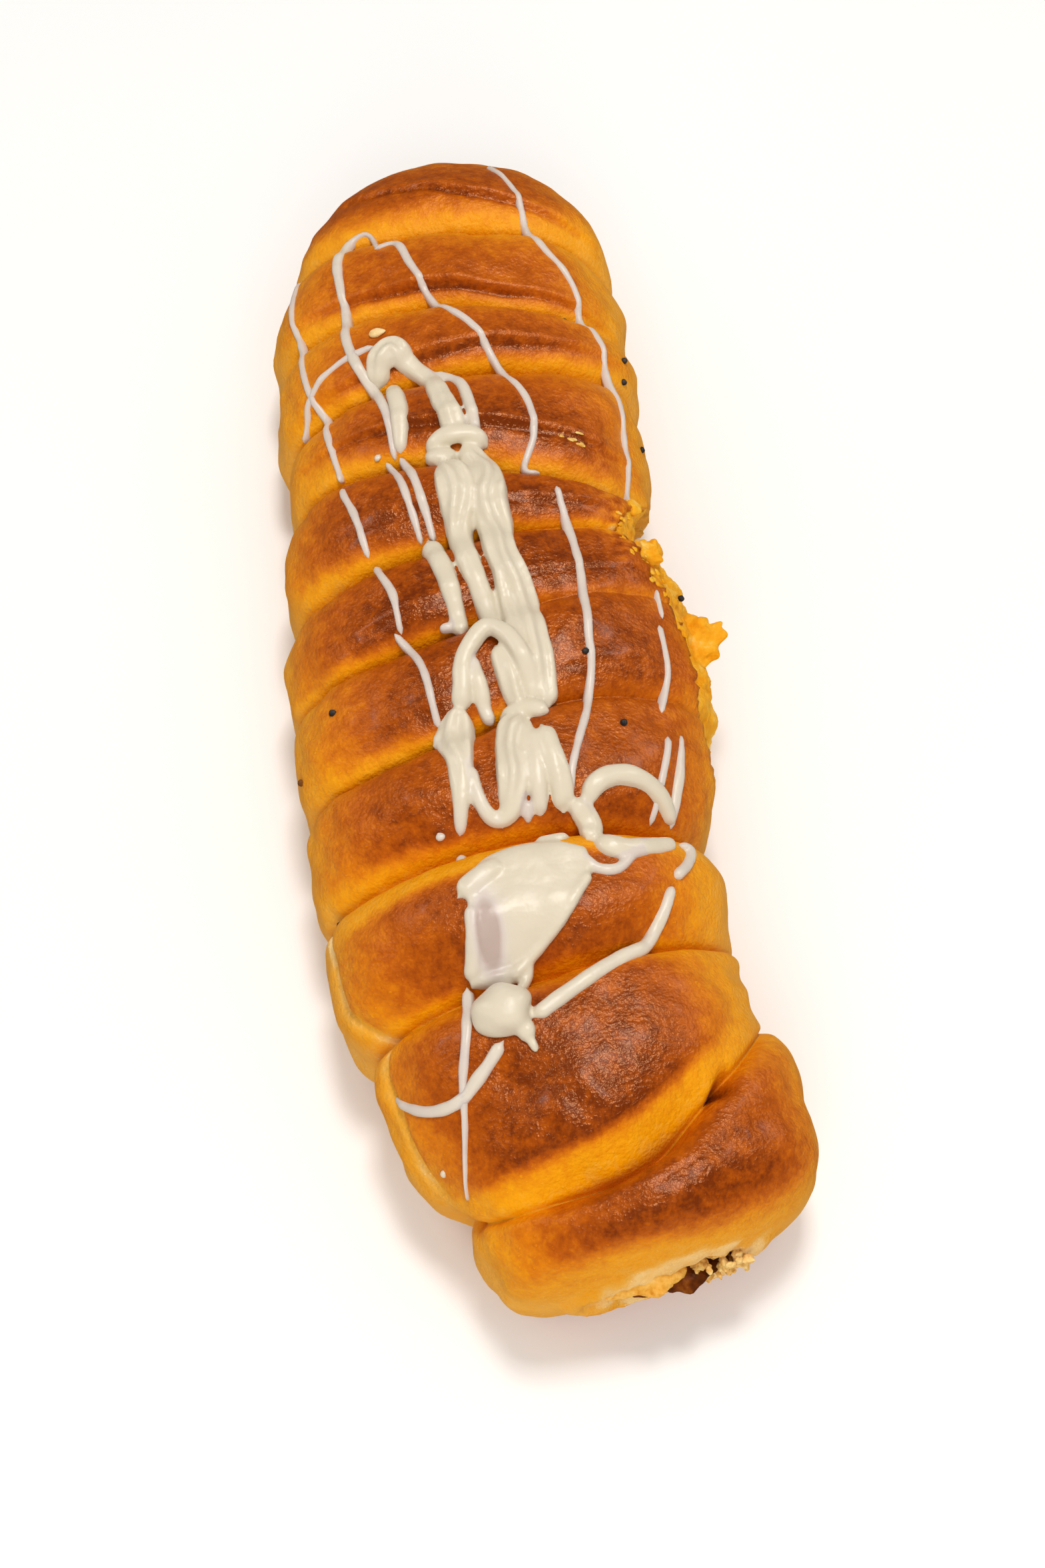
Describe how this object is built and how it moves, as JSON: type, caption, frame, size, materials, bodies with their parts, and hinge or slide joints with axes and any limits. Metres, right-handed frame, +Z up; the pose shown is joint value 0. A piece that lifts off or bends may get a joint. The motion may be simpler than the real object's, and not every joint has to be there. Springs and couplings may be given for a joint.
{
  "type": "filled sweet roll",
  "caption": "Long, gently bent sweet roll of puffed browned bands, filled with chocolate and drizzled with white chocolate, with a few seeds and one torn side.",
  "frame": {"origin": "middle of the roll's bounding box in plan, at the level of its flat base", "axes": "+Y along the roll towards its rounded far end, +X to the right seen from the open near end, +Z up"},
  "size_m": [0.0775, 0.2251, 0.0435],
  "materials": {
    "crust": null,
    "filling": null
  },
  "bodies": {
    "root": {"roll": "crust", "filling": "filling"}
  },
  "joints": []
}
